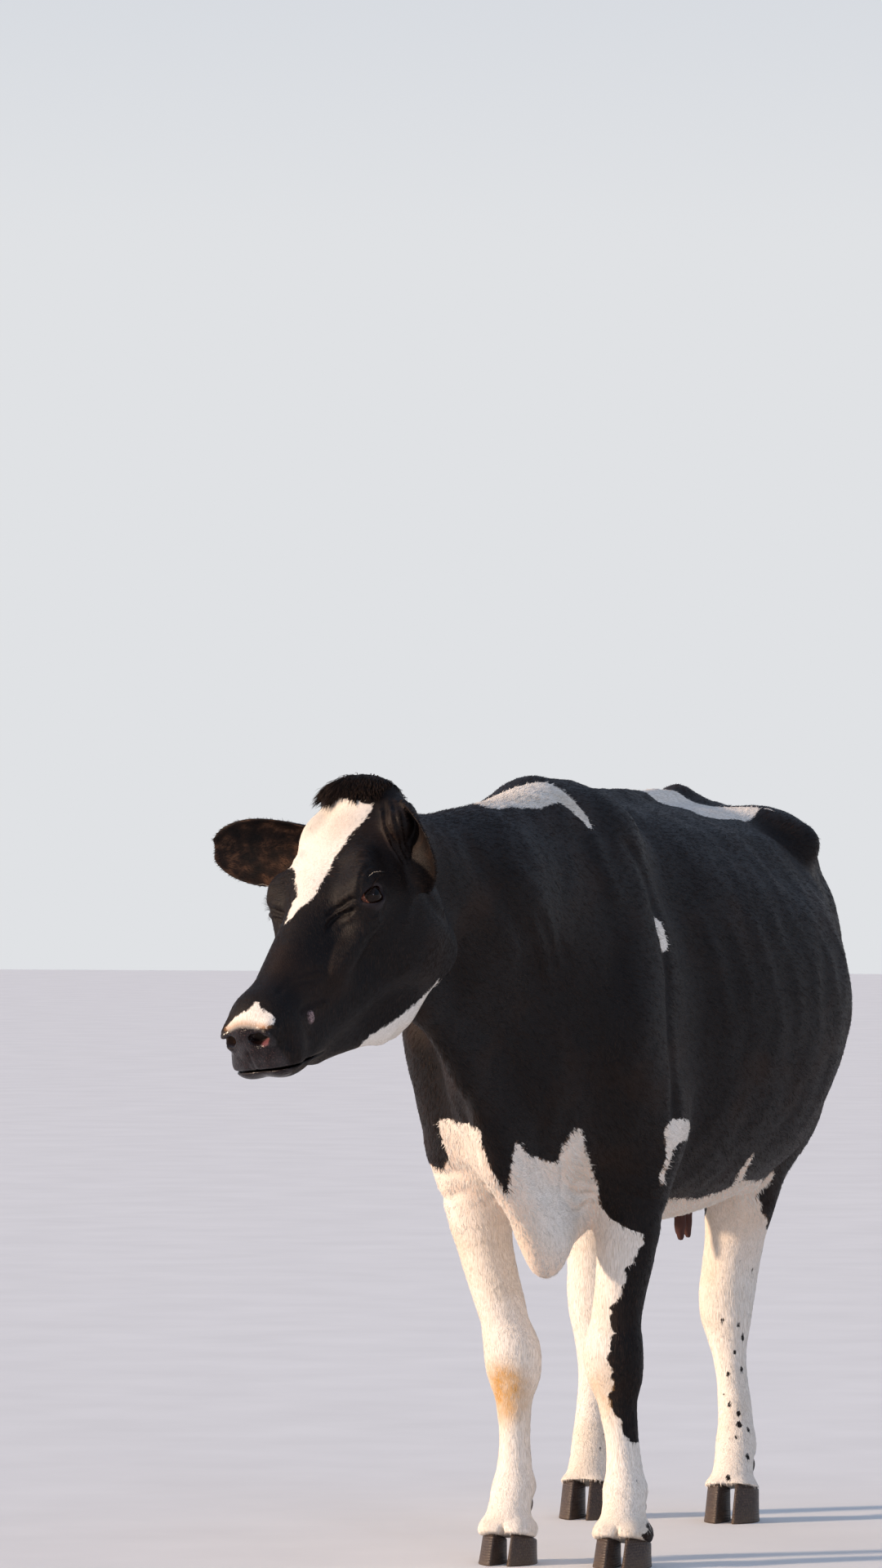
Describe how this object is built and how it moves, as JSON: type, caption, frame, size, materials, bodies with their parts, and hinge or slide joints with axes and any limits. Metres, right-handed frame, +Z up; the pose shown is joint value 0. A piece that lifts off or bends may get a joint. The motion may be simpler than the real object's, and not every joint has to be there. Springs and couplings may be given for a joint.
{
  "type": "standing cow model",
  "caption": "Life-size standing cow with a black and white coat, polled head turned to its own right, ears out and tail hanging.",
  "frame": {"origin": "on the floor, under the middle of the model's own box", "axes": "+Z up; the cow faces -Y; its own left side is +X"},
  "size_m": [0.8026, 2.609, 1.4734],
  "materials": {
    "coat": "short black hair with a soft sheen",
    "coat_white": "short white hair, stained ochre on the knees",
    "udder_skin": "bare pink-brown skin",
    "eye": "wet and glossy",
    "claw_horn": "worn horn"
  },
  "bodies": {
    "root": {"torso": "coat", "neck": "coat", "head": "coat", "left_eye": "eye", "right_eye": "eye", "left_ear": "coat", "right_ear": "coat", "left_fore_cannon": "coat_white", "left_fore_forearm": "coat_white", "left_fore_outer_claw": "claw_horn", "left_fore_inner_claw": "claw_horn", "right_fore_cannon": "coat_white", "right_fore_forearm": "coat_white", "right_fore_outer_claw": "claw_horn", "right_fore_inner_claw": "claw_horn", "left_hind_cannon": "coat_white", "left_hind_gaskin": "coat_white", "left_hind_outer_claw": "claw_horn", "left_hind_inner_claw": "claw_horn", "right_hind_cannon": "coat_white", "right_hind_gaskin": "coat_white", "right_hind_outer_claw": "claw_horn", "right_hind_inner_claw": "claw_horn", "udder": "udder_skin", "tail": "coat", "tail_switch": "coat_white", "topknot": "coat"}
  },
  "joints": []
}
